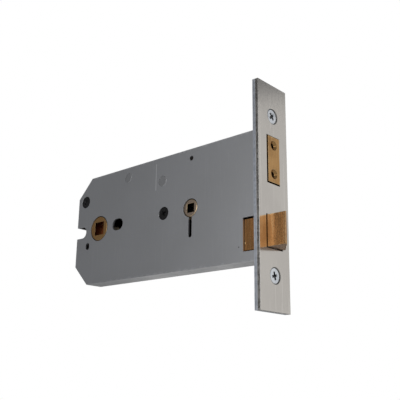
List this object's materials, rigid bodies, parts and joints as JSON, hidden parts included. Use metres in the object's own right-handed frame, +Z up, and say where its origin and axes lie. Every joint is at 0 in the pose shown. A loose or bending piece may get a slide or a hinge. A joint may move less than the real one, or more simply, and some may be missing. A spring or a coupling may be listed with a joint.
{
  "type": "mortise lock",
  "caption": "Narrow mortise lock case with a two-plate forend, a bevelled spring latch worked by a square spindle follower, and a deadbolt worked by a snib.",
  "frame": {"origin": "centre of the outer forend's front face", "axes": "+X out of the forend, the way both bolts are thrown; +Z up, with the deadbolt above the latch; +Y across the case's thickness, from the cover plate to the tray"},
  "size_m": [0.1593, 0.0244, 0.118],
  "materials": {
    "case_sheet": "plain zinc-plated sheet",
    "zinc_plate": "blue-grey zinc plate",
    "satin_plate": "satin nickel, brushed lengthwise",
    "bright_zinc": "bright zinc plate",
    "black_zinc": "black passivated",
    "dark_steel": "hardened and blackened",
    "plain_steel": "plain zinc plate",
    "spring_steel": "drawn wire and strip",
    "cast_brass": "machined brass, slightly dulled",
    "rivet_brass": "drawn brass"
  },
  "bodies": {
    "case": {"case_tray": "case_sheet", "cover_plate": "case_sheet", "inner_forend": "zinc_plate", "outer_forend": "satin_plate", "forend_screws": "bright_zinc", "cover_screws": "black_zinc", "cover_posts": "plain_steel", "bolt_guide_post": "plain_steel", "upper_tail_post": "plain_steel", "lower_tail_post": "plain_steel", "spring_abutment": "plain_steel", "latch_spring": "spring_steel", "detent_spring": "spring_steel", "detent_pin": "dark_steel"},
    "latch": {"latch_head": "cast_brass", "latch_tail": "plain_steel", "latch_rivets": "rivet_brass"},
    "deadbolt": {"deadbolt_head": "cast_brass", "bolt_tail": "plain_steel", "bolt_rivets": "rivet_brass", "anti_saw_rollers": "dark_steel"},
    "follower": {"follower": "cast_brass"},
    "snib": {"snib_follower": "cast_brass"}
  },
  "joints": [
    {"name": "follower_turn", "type": "hinge", "parent": "case", "child": "follower", "pos_m": [-0.1273, 0, 0], "axis": [0, -1, 0], "range_deg": [0, 40]},
    {"name": "latch_slide", "type": "slide", "parent": "case", "child": "latch", "axis": [1, 0, 0], "range_m": [-0.0108, 0], "stiffness_N_per_m": 400, "springref_m": 0.008, "deforming": ["latch_spring"]},
    {"name": "snib_turn", "type": "hinge", "parent": "case", "child": "snib", "pos_m": [-0.0509, 0, 0], "axis": [0, 1, 0], "range_deg": [0, 90]},
    {"name": "deadbolt_slide", "type": "slide", "parent": "case", "child": "deadbolt", "axis": [1, 0, 0], "range_m": [0, 0.012], "deforming": ["detent_spring"]}
  ],
  "couplings": [
    {"joint": "follower_turn", "follows": "latch_slide", "rad_per_m": -64.642},
    {"joint": "snib_turn", "follows": "deadbolt_slide", "rad_per_m": 130.9}
  ]
}
